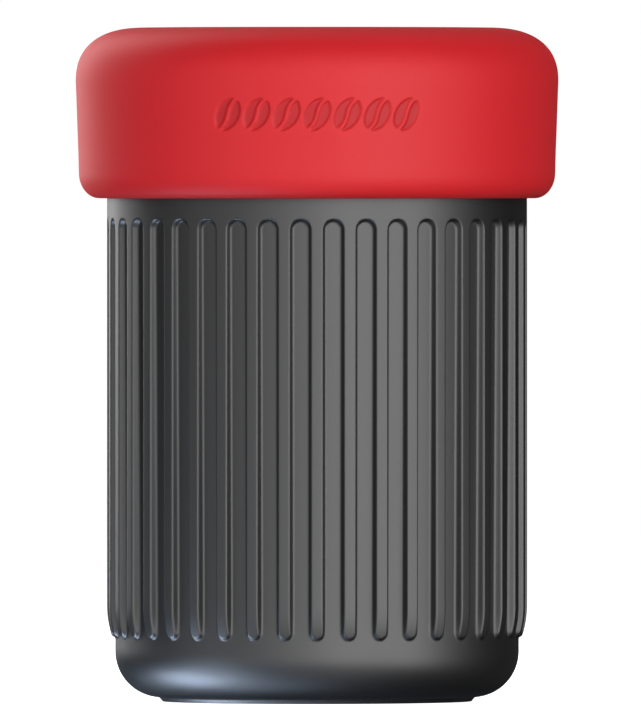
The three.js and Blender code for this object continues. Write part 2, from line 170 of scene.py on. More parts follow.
class Finish:
    """A material built round one Principled shader."""

    def __init__(self, name, **constants):
        self.material = bpy.data.materials.new(name)
        self.material.use_nodes = True
        self.tree = self.material.node_tree
        self.tree.nodes.clear()
        sockets = {key.replace("_", " "): value for key, value in constants.items()}
        self.shader = self.node("ShaderNodeBsdfPrincipled", {}, sockets)
        self.node("ShaderNodeOutputMaterial", {}, {"Surface": self.shader.outputs[0]})
        self.place = self.node("ShaderNodeTexCoord", {}, {}).outputs["Object"]

    def node(self, kind, settings, inputs):
        """Adds a node, with its settings first and then its sockets' values or links."""
        made = self.tree.nodes.new(kind)
        for key, value in settings.items():
            setattr(made, key, value)
        for key, value in inputs.items():
            self.feed(made.inputs[key], value)
        return made

    def feed(self, socket, value):
        """Links a socket to what varies, or sets its value."""
        if isinstance(value, Varying):
            value = value.socket
        if isinstance(value, bpy.types.NodeSocket):
            self.tree.links.new(value, socket)
        else:
            socket.default_value = value

    def noise(self, scale, detail, roughness=0.5):
        """Noise from 0 to 1, with its scale per metre."""
        inputs = {"Vector": self.place, "Scale": scale, "Detail": detail, "Roughness": roughness}
        return Varying(self, self.node("ShaderNodeTexNoise", {}, inputs).outputs[0])

    def between(self, value, low, high):
        """0 where value is below low, 1 where it is above high, and eased between them."""
        inputs = {"Value": value, "From Min": low, "From Max": high}
        node = self.node("ShaderNodeMapRange", {"interpolation_type": "SMOOTHSTEP"}, inputs)
        return Varying(self, node.outputs[0])

    def blend(self, mask, first, second):
        """A colour from first to second as mask goes from 0 to 1."""
        inputs = {0: mask, 6: first, 7: second}
        return self.node("ShaderNodeMix", {"data_type": "RGBA"}, inputs).outputs[2]

    def relief(self, height, distance, strength):
        """Raises the surface by a height from 0 to 1 of that distance in metres."""
        inputs = {"Height": height, "Distance": distance, "Strength": strength}
        self.feed(self.shader.inputs["Normal"], self.node("ShaderNodeBump", {}, inputs).outputs[0])

    def paint(self, colour, roughness):
        """Feeds the base colour and the roughness."""
        self.feed(self.shader.inputs["Base Color"], colour)
        self.feed(self.shader.inputs["Roughness"], roughness)


def charcoal_plastic():
    """Charcoal polypropylene with a fine moulded grain and a few soft, paler scuffs."""
    finish = Finish("charcoal_plastic", Specular_IOR_Level=0.9, IOR=1.5)
    grain = finish.noise(4200, 2.0)
    cloud = finish.noise(28, 3.0)
    scuffs = finish.between(finish.noise(160, 5.0, 0.65), 0.62, 0.8)
    dark, pale = (0.004, 0.0041, 0.0045, 1), (0.0075, 0.0076, 0.0082, 1)
    colour = finish.blend(cloud * 0.5 + scuffs * 0.3, dark, pale)
    finish.paint(colour, 0.40 + grain * 0.05 + cloud * 0.03)
    finish.relief(grain, 0.012 * MM, 0.6)
    return finish


def crowded(share):
    """Crowds columns onto a rib's flank. share is 0 at a rib's centre and 1 at a valley's."""
    crowding, flank = 0.62, RIB_HALF_WIDTH / HALF_PITCH
    wave = math.sin(2 * math.pi * (share - flank)) + math.sin(2 * math.pi * flank)
    return share - crowding / (2 * math.pi) * wave


def rib_height(across, height):
    """1 on a rib's crest or the plain band, 0 on a valley's floor, and eased over the flank."""
    if height < (RIB_FOOT + VALLEY_TOP) / 2:
        below = max(RIB_FOOT + RIB_HALF_WIDTH - height, 0)
        outside = math.hypot(across, below) - RIB_HALF_WIDTH
    else:
        above = max(height - (VALLEY_TOP - VALLEY_HALF_WIDTH), 0)
        outside = VALLEY_HALF_WIDTH - math.hypot(HALF_PITCH - across, above)
    return smoothly(smoothly(0.5 - outside / (2 * RIB_FLANK)))


def crest_radius(height):
    """A rib's crest is straight, and curves inwards at its foot."""
    curve, start = 20, 19.4
    drop = max(start - height, 0)
    return RIB_CREST - (curve - math.sqrt(curve * curve - drop * drop))


def floor_radius(height):
    """A valley's floor leans out a little towards the rim."""
    low, high = 41.04, 41.5
    return low + (high - low) * min(max((height - RIB_FOOT) / (VALLEY_TOP - RIB_FOOT), 0), 1)


def mug_outline():
    """The foot, base corner and wall outside, then the rim, seat, bore and floor inside."""
    heights = [11.3, 12.2]
    heights += [12.6 + 0.2 * i for i in range(14)]
    heights += [15.9, 16.8, 17.9, 19.2, 20.6, 40, 60, 80, 90, 94]
    heights += [95.2 + 0.2 * i for i in range(18)]
    heights += [99.4, 102, 108, MUG_RIM - 1]
    return [
        (0, 0.7),
        *arc((28.6, 0.4), (0.3, 0.3), (90, 0), 3),
        *arc((29.4, 0.2), (0.2, 0.2), (180, 270), 2),
        *arc((31.3, 0.25), (0.25, 0.25), (-90, -20), 3),
        *arc((32.15, 0.55), (0.2, 0.25), (160, 90), 2),
        *arc((31.7, 10.2), (9.34, 9.35), (-86, 0), 16),
        *[(floor_radius(height), height) for height in heights],
        *arc((RIB_CREST - 0.7, MUG_RIM - 0.7), (0.7, 0.7), (0, 90), 4),
        *arc((41.5, MUG_RIM - 0.4), (0.4, 0.4), (90, 180), 2),
        *arc((40.8, 114.3), (0.3, 0.3), (0, -90), 2),
        *arc((39.6, 113.6), (0.4, 0.4), (90, 180), 2),
        *arc((34.4, 7.5), (3, 3), (0, -90), 5),
        (0, 4.5),
    ]


def reshape(mesh, rule):
    """Moves each vertex by a rule on its radius, turn and height, in millimetres and radians."""
    for vertex in mesh.verts:
        radius = math.hypot(vertex.co.x, vertex.co.y) / MM
        turn = math.atan2(vertex.co.y, vertex.co.x)
        radius, turn, height = rule(radius, turn, vertex.co.z / MM)
        vertex.co = Vector((radius * math.cos(turn), radius * math.sin(turn), height)) * MM


def raise_ribs(radius, turn, height):
    """Moves the columns onto the ribs' flanks, and lifts the ribs and the band off the wall."""
    rib = round(turn / RIB_PITCH)
    side = turn / RIB_PITCH - rib
    share = crowded(2 * abs(side))
    if radius > WALL_OUTSIDE and 12 < height < MUG_RIM - 0.75:
        lift = rib_height(share * HALF_PITCH, height)
        radius = floor_radius(height) + (crest_radius(height) - floor_radius(height)) * lift
    return radius, (rib + math.copysign(share / 2, side)) * RIB_PITCH, height


mug_mesh = spun(mug_outline(), RIBS * COLUMNS_PER_RIB)
reshape(mug_mesh, raise_ribs)
make_piece("mug_ribbed", mug_mesh, charcoal_plastic(), "mug", "mug")


# ---- Filter holder ----
# The holder keeps spare papers dry under the press: a shallow black tray with a push-out hole, a
# stack of round crepe papers, and a snap-on cover whose spigot plugs the plunger's open end.

TRAY_LOW, TRAY_HIGH = (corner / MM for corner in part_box("filter_holder_tray"))
STACK_LOW, STACK_HIGH = (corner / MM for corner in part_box("spare_filters"))
COVER_LOW, COVER_HIGH = (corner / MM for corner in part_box("filter_holder_cover"))
COVER_SEAT = TRAY_HIGH.z + 0.3
SHEETS = 12


def black_plastic(name="black_plastic", tone=0.012):
    """Black polypropylene, satin, with a moulded grain and paler rubbed patches."""
    finish = Finish(name, Specular_IOR_Level=0.5, IOR=1.49)
    grain = finish.noise(3600, 2.0)
    cloud = finish.noise(40, 3.0)
    rubbed = finish.between(finish.noise(240, 5.0, 0.7), 0.6, 0.8)
    dark, pale = (tone, tone, tone * 1.06, 1), (tone * 1.9, tone * 1.9, tone * 2, 1)
    colour = finish.blend(cloud * 0.5 + rubbed * 0.5, dark, pale)
    finish.paint(colour, 0.36 + grain * 0.08 + cloud * 0.08)
    finish.relief(grain, 0.012 * MM, 0.5)
    return finish


def crepe_paper(name, scale):
    """Off-white crepe paper: fine random crimps whose hollows are painted darker and warmer as
    painted shade, with a faint real fibre tone.
    """
    finish = Finish(name, Specular_IOR_Level=0.2, Sheen_Weight=0.15)
    crimps = finish.noise(scale, 4.0, 0.65)
    fibres = finish.noise(scale * 6, 2.0)
    # The crimps' hollows take the darker, warmer colour as painted shade; the fibres add a real
    # faint tone.
    fibre_tone_and_crease_shade, white = (0.8, 0.76, 0.68, 1), (0.92, 0.9, 0.86, 1)
    finish.paint(finish.blend(crimps * 0.6 + fibres * 0.4, fibre_tone_and_crease_shade, white), 0.9 + fibres * 0.08)
    finish.relief(crimps, 0.1 * MM, 0.7)
    return finish


def raise_tray_ribs(radius, turn, height):
    """Eight low ribs on the tray's floor keep the papers off it."""
    on_floor = 11 < radius < 32 and abs(height - (TRAY_LOW.z + 1.5)) < 0.01
    near_rib = abs(math.sin(4 * turn)) * radius / 4
    return radius, turn, height + (0.2 * smoothly(1.4 - near_rib) if on_floor else 0)


holder_black = black_plastic()
tray_mesh = spun([
    *arc((9.4, TRAY_LOW.z + 0.4), (0.4, 0.4), (180, 270), 3),
    *arc((TRAY_HIGH.x - 1.7, TRAY_LOW.z + 1.7), (1.7, 1.7), (-90, 0), 6),
    (TRAY_HIGH.x, TRAY_HIGH.z - 1.9), (TRAY_HIGH.x - 0.25, TRAY_HIGH.z - 1.65),
    (TRAY_HIGH.x - 0.25, TRAY_HIGH.z - 0.35),
    *arc((TRAY_HIGH.x - 0.55, TRAY_HIGH.z - 0.3), (0.3, 0.3), (0, 90), 3),
    *arc((TRAY_HIGH.x - 1.2, TRAY_HIGH.z - 0.3), (0.3, 0.3), (90, 180), 3),
    *arc((TRAY_HIGH.x - 2.1, TRAY_LOW.z + 2.1), (0.6, 0.6), (0, -90), 4),
    *[(radius, TRAY_LOW.z + 1.5) for radius in (32, 26, 18, 11.5)],
    *arc((9.4, TRAY_LOW.z + 1.1), (0.4, 0.4), (90, 180), 3),
], 240, ring=True)
reshape(tray_mesh, raise_tray_ribs)
make_piece(
    "filter_holder_tray_ribbed", tray_mesh, holder_black, "filter_holder", "filter_holder_tray",
)

sheet_depth = (STACK_HIGH.z - STACK_LOW.z) / SHEETS
stack_side = []
for sheet in range(SHEETS):
    edge, foot = STACK_HIGH.x - 0.12 * (sheet * 5 % 3), STACK_LOW.z + sheet * sheet_depth
    stack_side += [
        (edge - 0.15, foot), (edge, foot + 0.3 * sheet_depth), (edge, foot + 0.8 * sheet_depth),
    ]
stack_top = [(STACK_HIGH.x - 0.3, STACK_HIGH.z), (0, STACK_HIGH.z)]
stack_mesh = spun([(0, STACK_LOW.z), *stack_side, *stack_top], 160)
make_piece(
    "spare_filter_papers", stack_mesh, crepe_paper("spare_paper", 1500), "spare_filters",
    "spare_filters",
)


def dish_cover(radius, turn, height):
    """A shallow finger dish in the cover's top, and four snap bumps on its locating ring."""
    if radius < 22 and height > COVER_SEAT + 1.5:
        height -= 0.45 * smoothly((20 - radius) / 6)
    if radius > 33 and height < COVER_SEAT - 0.2:
        radius += 0.15 * smoothly(1.5 - abs(math.sin(2 * turn)) * 8)
    return radius, turn, height


cover_top = COVER_SEAT + 1.8
cover_mesh = spun([
    (0, COVER_SEAT), (31.9, COVER_SEAT),
    *arc((32.3, COVER_LOW.z + 0.2), (0.2, 0.2), (180, 270), 2),
    *arc((32.8, COVER_LOW.z + 0.3), (0.3, 0.3), (-90, 0), 3),
    (33.1, COVER_SEAT - 0.25), (33.2, COVER_SEAT),
    *arc((COVER_HIGH.x - 0.3, COVER_SEAT + 0.3), (0.3, 0.3), (-90, 0), 3),
    *arc((COVER_HIGH.x - 0.7, cover_top - 0.5), (0.5, 0.5), (0, 90), 4),
    (27, cover_top),
    *arc((25.75, cover_top + 0.4), (0.4, 0.4), (270, 180), 3),
    *arc((24.5, COVER_HIGH.z - 0.4), (0.4, 0.4), (0, 90), 3),
    *arc((24.1, COVER_HIGH.z - 0.4), (0.4, 0.4), (90, 180), 3),
    *arc((23.2, cover_top + 0.5), (0.5, 0.5), (0, -90), 4),
    *[(radius, cover_top) for radius in (20, 18.5, 17, 15.5, 14, 0)],
], 240)
reshape(cover_mesh, dish_cover)
make_piece(
    "filter_holder_cover_dished", cover_mesh, holder_black, "holder_cover", "filter_holder_cover",
)


# ---- Stirrer ----
# The stirrer folds in half on a round pin. Its handle blade ends in a fork, and its paddle blade in
# a tongue that turns between the fork's prongs. Both are black mouldings, dished to save plastic.

STIRRER_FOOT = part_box("stirrer_paddle")[0].z / MM
PIN_LOW, PIN_HIGH = (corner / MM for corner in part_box("stirrer_pin"))
PIVOT = (PIN_LOW + PIN_HIGH) / 2
HANDLE_HALF_WIDTH, PADDLE_HALF_WIDTH = 5.5, 6
FORK_INNER, FORK_OUTER = 2.3, 4.5
TONGUE = 1.9
PANEL_MARGIN, PANEL_DEPTH = 1.1, 0.45


def block(low, high):
    """A block between two corners, in millimetres, with its edges eased."""
    mesh = bmesh.new()
    bmesh.ops.create_cube(mesh, size=1)
    size, middle = Vector(high) - Vector(low), (Vector(high) + Vector(low)) / 2
    bmesh.ops.scale(mesh, verts=mesh.verts, vec=size * MM)
    bmesh.ops.translate(mesh, verts=mesh.verts, vec=middle * MM)
    ease(mesh, 0.25, 2)
    return mesh


def ease(mesh, width, segments):
    """Rounds the edges where faces meet sharply."""
    sharp = [edge for edge in mesh.edges if edge.calc_face_angle(0) > math.radians(50)]
    bmesh.ops.bevel(
        mesh, geom=sharp, offset=width * MM, offset_type="OFFSET", segments=segments, profile=0.5,
        affect="EDGES", clamp_overlap=True, material=-1,
    )


def blade(rows, near, far, panel):
    """A flat blade of (half width, height) rows from y near to y far.

    The panel says from which height to which height, and on which side, the blade is dished."""
    mesh = bmesh.new()
    bmesh.ops.create_grid(mesh, x_segments=2, y_segments=len(rows) - 1, size=1)
    for vertex in mesh.verts:
        half_width, height = rows[round((vertex.co.y + 1) / 2 * (len(rows) - 1))]
        vertex.co = Vector((round(vertex.co.x) * half_width, near, height)) * MM
    back = bmesh.ops.extrude_face_region(mesh, geom=mesh.faces[:])["geom"]
    moved = [item for item in back if isinstance(item, bmesh.types.BMVert)]
    bmesh.ops.translate(mesh, verts=moved, vec=(0, (far - near) * MM, 0))
    bmesh.ops.recalc_face_normals(mesh, faces=mesh.faces)
    low, high, side = panel
    outward = -1 if side == "near" else 1
    dished = [
        face for face in mesh.faces
        if face.normal.y * outward > 0.9
        and all((low - 0.01) * MM <= vertex.co.z <= (high + 0.01) * MM for vertex in face.verts)
    ]
    for thickness, depth in [(PANEL_MARGIN, 0), (0.3, -PANEL_DEPTH)]:
        bmesh.ops.inset_region(
            mesh, faces=dished, thickness=thickness * MM, depth=depth * MM, use_even_offset=True,
        )
    ease(mesh, 0.3, 2)
    return mesh


def rounded_rows(half_width, foot, rows):
    """Rows for a blade with a round lower end."""
    end = []
    for step in range(9):
        turn = math.radians(90 * step / 8)
        half = half_width * max(math.sin(turn), 0.03)
        end.append((half, foot + half_width * (1 - math.cos(turn))))
    return end + rows


def eye(half_width, start):
    """A ring along X round the pin, from x start over twice the half width, in millimetres."""
    mesh = spun([
        (1.9, 0), *arc((2.9, 0.3), (0.3, 0.3), (-90, 0), 2),
        *arc((2.9, 2 * half_width - 0.3), (0.3, 0.3), (0, 90), 2), (1.9, 2 * half_width),
    ], 60, ring=True)
    bmesh.ops.rotate(mesh, verts=mesh.verts, matrix=Matrix.Rotation(math.radians(90), 3, "Y"))
    bmesh.ops.translate(mesh, verts=mesh.verts, vec=Vector((start, PIVOT.y, PIVOT.z)) * MM)
    return mesh


def gathered(first, *others):
    """Puts the other meshes into the first."""
    for other in others:
        data = bpy.data.meshes.new("part")
        other.to_mesh(data)
        other.free()
        first.from_mesh(data)
        bpy.data.meshes.remove(data)
    return first


def make_stirrer():
    """Both blades and the pin."""
    finish = black_plastic("stirrer_black", 0.014)
    shoulder, neck = PIVOT.z - 20, PIVOT.z - 12
    prong = PIVOT.y - 3.05, PIVOT.y - 0.45
    fork_foot = PIVOT.z - 3.7
    handle_rows = rounded_rows(HANDLE_HALF_WIDTH, STIRRER_FOOT, [
        (HANDLE_HALF_WIDTH, 40), (HANDLE_HALF_WIDTH, shoulder), (FORK_OUTER, neck),
        (FORK_OUTER, fork_foot),
    ])
    handle = gathered(
        blade(handle_rows, *prong, (STIRRER_FOOT + 2, shoulder, "near")),
        block((-FORK_OUTER, prong[0], fork_foot - 0.6), (-FORK_INNER, prong[1], PIVOT.z)),
        block((FORK_INNER, prong[0], fork_foot - 0.6), (FORK_OUTER, prong[1], PIVOT.z)),
        eye((FORK_OUTER - FORK_INNER) / 2, -FORK_OUTER),
        eye((FORK_OUTER - FORK_INNER) / 2, FORK_INNER),
    )
    make_piece("stirrer_handle_blade", handle, finish, "stirrer", "stirrer_handle")
    paddle_rows = rounded_rows(PADDLE_HALF_WIDTH, STIRRER_FOOT, [
        (PADDLE_HALF_WIDTH, 40), (PADDLE_HALF_WIDTH, shoulder), (TONGUE, neck), (TONGUE, PIVOT.z),
    ])
    paddle = gathered(
        blade(paddle_rows, PIVOT.y + 0.45, PIVOT.y + 2.85, (STIRRER_FOOT + 2, shoulder, "far")),
        eye(TONGUE, -TONGUE),
    )
    make_piece("stirrer_paddle_blade", paddle, finish, "stirrer", "stirrer_paddle")
    length = PIN_HIGH.x - PIN_LOW.x
    pin = spun([
        (0, 0), *arc((1.2, 0.3), (0.3, 0.3), (-90, 0), 3), (1.5, length / 2),
        *arc((1.2, length - 0.3), (0.3, 0.3), (0, 90), 3), (0, length),
    ], 60)
    bmesh.ops.rotate(pin, verts=pin.verts, matrix=Matrix.Rotation(math.radians(90), 3, "Y"))
    bmesh.ops.translate(pin, verts=pin.verts, vec=Vector((PIN_LOW.x, PIVOT.y, PIVOT.z)) * MM)
    make_piece("stirrer_pin_round", pin, finish, "stirrer", "stirrer_pin")


make_stirrer()


# ---- Scoop ----
# The coffee scoop is one black moulding: a tapered bowl with a rolled rim and a level line inside,
# and a flat dished grip that stands up beside the stirrer in the plunger.

SCOOP_LOW, SCOOP_HIGH = (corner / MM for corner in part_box("scoop"))
SCOOP_MOUTH, SCOOP_END = 20.0, 16.5
SCOOP_DEPTH = SCOOP_HIGH.y - SCOOP_LOW.y
GRIP_HALF_WIDTH = 4.5


def outer(depth):
    """The bowl's outer radius at a depth from its mouth."""
    taper = (SCOOP_MOUTH - SCOOP_END) / SCOOP_DEPTH
    return SCOOP_MOUTH - taper * depth


def make_scoop():
    """The bowl is turned about Z and laid on its side, with its mouth towards -Y."""
    middle = SCOOP_LOW.z + SCOOP_MOUTH
    bowl = spun([
        (0, SCOOP_DEPTH - 1.5),
        *arc((outer(SCOOP_DEPTH) - 3.5, SCOOP_DEPTH - 3.5), (2, 2), (90, 0), 5),
        (outer(17) - 1.5, 17), (outer(16.8) - 1.35, 16.8), (outer(16.4) - 1.35, 16.4),
        (outer(16.2) - 1.5, 16.2), (outer(1) - 1.5, 1),
        *arc((outer(0) - 1.1, 0.4), (0.4, 0.4), (180, 270), 3),
        *arc((outer(0) - 0.4, 0.4), (0.4, 0.4), (-90, 0), 3),
        (outer(2.2), 2.2), (outer(2.6) - 0.3, 2.6), (outer(SCOOP_DEPTH / 2) - 0.2, SCOOP_DEPTH / 2),
        *arc((outer(SCOOP_DEPTH) - 2.2, SCOOP_DEPTH - 2.2), (2.2, 2.2), (0, 90), 6),
        (0, SCOOP_DEPTH),
    ], 160)
    bmesh.ops.rotate(bowl, verts=bowl.verts, matrix=Matrix.Rotation(math.radians(-90), 3, "X"))
    bmesh.ops.translate(bowl, verts=bowl.verts, vec=Vector((0, SCOOP_LOW.y, middle)) * MM)
    root, top = middle + SCOOP_MOUTH - 1, SCOOP_HIGH.z
    grip_rows = [
        (6.5, root), (5.6, root + 3.6), (GRIP_HALF_WIDTH, root + 8), (GRIP_HALF_WIDTH, root + 9),
    ]
    shoulder = top - GRIP_HALF_WIDTH
    for step in range(9):
        turn = math.radians(90 * step / 8)
        half_width = GRIP_HALF_WIDTH * max(math.cos(turn), 0.03)
        grip_rows.append((half_width, shoulder + GRIP_HALF_WIDTH * math.sin(turn)))
    grip = blade(grip_rows, SCOOP_LOW.y, SCOOP_LOW.y + 2.4, (root + 8.5, shoulder, "near"))
    finish = black_plastic("scoop_black", 0.013)
    scoop = gathered(bowl, grip)
    make_piece("scoop_bowl_and_grip", scoop, finish, "scoop", "scoop")


make_scoop()


# ---- Plunger ----
# The plunger is a smoke-grey tube standing on its flange. Its closed top carries a black rubber
# seal, which snaps over a lip and wipes the chamber's bore with three soft rings.

PLUNGER_LOW, PLUNGER_HIGH = (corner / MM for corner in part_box("plunger_tube"))
SEAL_LOW, SEAL_HIGH = (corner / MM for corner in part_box("plunger_seal"))


def smoke_plastic(name, thick_from, thick_to):
    """Clear smoke-grey plastic, denser above, where the flanges and end plates are thick."""
    finish = Finish(name, Specular_IOR_Level=0.6, IOR=1.5, Coat_Roughness=0.08)
    parts = finish.node("ShaderNodeSeparateXYZ", {}, {0: finish.place})
    dense = finish.between(parts.outputs["Z"], thick_from * MM, thick_to * MM)
    haze = finish.noise(55, 3.0)
    rubs = finish.between(finish.noise(420, 5.0, 0.7), 0.55, 0.8)
    clear, smoky = (0.1, 0.106, 0.115, 1), (0.062, 0.066, 0.073, 1)
    finish.paint(finish.blend(haze, clear, smoky), 0.12 + rubs * 0.22)
    finish.feed(finish.shader.inputs["Alpha"], 0.58 + dense * 0.2 + haze * 0.08)
    finish.feed(finish.shader.inputs["Coat Weight"], 0.35 - rubs * 0.2)
    finish.relief(haze, 0.05 * MM, 0.15)
    return finish


def seal_rubber():
    """Black rubber, dull, with a slight bloom."""
    finish = Finish("seal_rubber", Specular_IOR_Level=0.35, IOR=1.52, Sheen_Weight=0.1)
    bloom = finish.noise(90, 4.0, 0.6)
    grain = finish.noise(2600, 2.0)
    dark, bloomed = (0.011, 0.011, 0.012, 1), (0.026, 0.026, 0.028, 1)
    finish.paint(finish.blend(bloom, dark, bloomed), 0.6 + grain * 0.15)
    finish.relief(grain, 0.02 * MM, 0.6)
    return finish


def make_plunger():
    """The tube and its seal."""
    foot, top = PLUNGER_LOW.z, PLUNGER_HIGH.z
    seal_seat, lip = SEAL_LOW.z - 0.3, top - 4.1
    tube = spun([
        (0, top - 2.5), (21.4, top - 2.5), *arc((21.4, top - 3.5), (1, 1), (90, 0), 4),
        (22.4, SEAL_LOW.z - 0.8), (25.8, SEAL_LOW.z - 3.8), (25.8, 60), (25.8, foot + 0.7),
        (26.4, foot), (34.6, foot), *arc((35.4, foot + 0.6), (0.6, 0.6), (-90, 0), 4),
        *arc((35.4, foot + 1.8), (0.6, 0.6), (0, 90), 4),
        *arc((29.7, foot + 3.9), (1.5, 1.5), (270, 180), 5),
        (28.2, 30), (28.2, 60), (28.2, 90), (28.2, seal_seat - 0.5),
        *arc((27.7, seal_seat - 0.5), (0.5, 0.5), (0, 90), 3),
        (24.8, seal_seat), (24.8, lip - 0.4), (26.6, lip),
        *arc((26, top - 0.6), (0.6, 0.6), (0, 90), 4), (0, top),
    ], 240)
    finish = smoke_plastic("plunger_smoke", 112, 122)
    make_piece("plunger_tube_clear", tube, finish, "plunger", "plunger_tube")
    low, face, edge = SEAL_LOW.z, SEAL_HIGH.z, SEAL_HIGH.x
    rings = []
    for ring in range(3):
        rings += arc((edge - 0.55, low + 8 + ring * 2.8), (0.55, 1.15), (-80, 80), 8)
    seal = spun([
        (0, top + 0.3), (26.95, top + 0.3), (26.95, lip - 0.7), (25.15, lip - 1.1), (25.15, low),
        (edge - 1.2, low), (edge - 0.8, low + 0.4), (edge - 0.5, low + 1.2),
        (edge - 0.5, low + 5.4), (edge - 0.75, low + 6.4), *rings,
        *arc((edge - 2, face - 1.5), (1.5, 1.5), (10, 90), 6),
        (22, face), (20.6, face - 0.35), (19.4, face - 0.35), (18, face), (0, face),
    ], 240)
    finish = seal_rubber()
    make_piece("plunger_seal_ringed", seal, finish, "plunger", "plunger_seal")


make_plunger()


# ---- Chamber ----
# The brew chamber is a smoke-grey tube packed mouth down. A broad flange hangs in the mug's rim,
# and six lugs on its neck take the filter cap. Raised level lines are moulded into its wall.

CHAMBER_LOW, CHAMBER_HIGH = (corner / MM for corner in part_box("chamber"))
CHAMBER_WALL = 32.2
FLANGE_FOOT, FLANGE_TOP = 114.3, 116.5
LUGS = 6
LUG_FOOT, LUG_TOP, LUG_REACH = 126, 128.2, 1.3
LEVEL_LINES = (42, 58, 74, 90)


def lug_share(turn, offset, half_degrees=9, ease_degrees=1.2):
    """1 on a bayonet lug, 0 between lugs."""
    pitch = 2 * math.pi / LUGS
    aside = abs((turn - offset + pitch / 2) % pitch - pitch / 2)
    return smoothly((math.radians(half_degrees) - aside) / math.radians(ease_degrees) + 0.5)


def raise_lugs(radius, turn, height):
    """Six lugs round the neck, and four short level lines on each side of the wall."""
    if radius > 32.9 and LUG_FOOT - 0.01 < height < LUG_TOP + 0.01:
        radius += LUG_REACH * lug_share(turn, 0)
    on_line = 32 < radius < 32.3 and any(abs(height - level) < 0.3 for level in LEVEL_LINES)
    if on_line:
        radius += 0.25 * smoothly((math.radians(14) - abs(math.sin(turn))) / 0.03)
    return radius, turn, height


def make_chamber():
    """The tube, flange, neck and lugs."""
    mouth, end = CHAMBER_LOW.z, CHAMBER_HIGH.z
    steps = (-0.6, -0.45, -0.25, 0, 0.25, 0.45, 0.6)
    levels = [(CHAMBER_WALL, level + step) for level in LEVEL_LINES for step in steps]
    tube = spun([
        (30.6, mouth), *arc((31.8, mouth + 0.4), (0.4, 0.4), (-90, 0), 3), *levels,
        (CHAMBER_WALL, 105), *arc((33.7, FLANGE_FOOT - 1.5), (1.5, 1.5), (180, 90), 5),
        *arc((40.2, FLANGE_FOOT + 0.5), (0.5, 0.5), (-90, 0), 3),
        *arc((40.2, FLANGE_TOP - 0.5), (0.5, 0.5), (0, 90), 3),
        (36.5, FLANGE_TOP), (36.2, FLANGE_TOP - 0.25), (35.4, FLANGE_TOP - 0.25),
        (35.1, FLANGE_TOP),
        *arc((33.7, FLANGE_TOP + 0.7), (0.7, 0.7), (270, 180), 4),
        (33, 121), (33, LUG_FOOT - 0.25), (33, LUG_FOOT), (33, LUG_FOOT + 0.2), (33, LUG_TOP - 0.5),
        (33, LUG_TOP), (33, LUG_TOP + 0.3),
        *arc((32.4, end - 0.6), (0.6, 0.6), (0, 90), 4),
        (30.6, end), (30, end - 0.6), (30, 90), (30, 50), (30, mouth + 0.6),
    ], 360, ring=True)
    reshape(tube, raise_lugs)
    finish = smoke_plastic("chamber_smoke", 111, 117)
    make_piece("chamber_clear", tube, finish, "chamber", "chamber")


make_chamber()


# ---- Filter cap ----
# The black filter cap turns onto the chamber's lugs and holds one paper against its pierced plate.
# Shallow scallops round its skirt give a grip.

CAP_LOW, CAP_HIGH = (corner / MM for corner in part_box("filter_cap"))
PAPER_LOW, PAPER_HIGH = (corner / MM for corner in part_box("cap_filter"))
CAP_BORE = 34.9
CAP_PLATE = 1.4
PLATE_EDGE = 29.0
HOLE_PITCH, HOLE_RADIUS, HOLE_RINGS = 5.6, 0.95, 4
SCALLOPS, SCALLOP_DEPTH = 36, 0.45
CAP_LUG_REACH = 1.4


def crinkle(radius, turn, height):
    """Slight waves towards the paper's edge."""
    wave = 0.05 * math.sin(17 * turn) * math.sin(5 * turn + 1)
    return radius, turn, height + wave * smoothly((radius - 16) / 14)


def grip_cap(radius, turn, height):
    """Scallops round the skirt and lugs inside it, which lie between the chamber's lugs."""
    if radius > CAP_BORE + 1.4 and CAP_LOW.z + 1.2 < height < CAP_HIGH.z - 1.9:
        radius -= SCALLOP_DEPTH * (0.5 + 0.5 * math.cos(SCALLOPS * turn)) ** 0.7
    if radius < CAP_BORE + 0.01 and 122.5 < height < 124.9:
        radius -= CAP_LUG_REACH * lug_share(turn, math.radians(30))
    return radius, turn, height


def pierced_plate(foot, thickness):
    """A disc filled round its holes and then given its thickness."""
    mesh = bmesh.new()
    bmesh.ops.create_circle(mesh, cap_ends=False, segments=120, radius=(PLATE_EDGE + 0.3) * MM)
    for q in range(-HOLE_RINGS, HOLE_RINGS + 1):
        for r in range(-HOLE_RINGS, HOLE_RINGS + 1):
            if abs(q + r) > HOLE_RINGS:
                continue
            centre = Vector((q + r / 2, r * math.sin(math.pi / 3), 0)) * HOLE_PITCH * MM
            bmesh.ops.create_circle(
                mesh, cap_ends=False, segments=16, radius=HOLE_RADIUS * MM,
                matrix=Matrix.Translation(centre),
            )
    bmesh.ops.triangle_fill(mesh, use_beauty=True, edges=mesh.edges[:])
    bmesh.ops.translate(mesh, verts=mesh.verts, vec=(0, 0, foot * MM))
    plate = bmesh.ops.extrude_face_region(mesh, geom=mesh.faces[:])["geom"]
    moved = [item for item in plate if isinstance(item, bmesh.types.BMVert)]
    bmesh.ops.translate(mesh, verts=moved, vec=(0, 0, thickness * MM))
    bmesh.ops.recalc_face_normals(mesh, faces=mesh.faces)
    return mesh


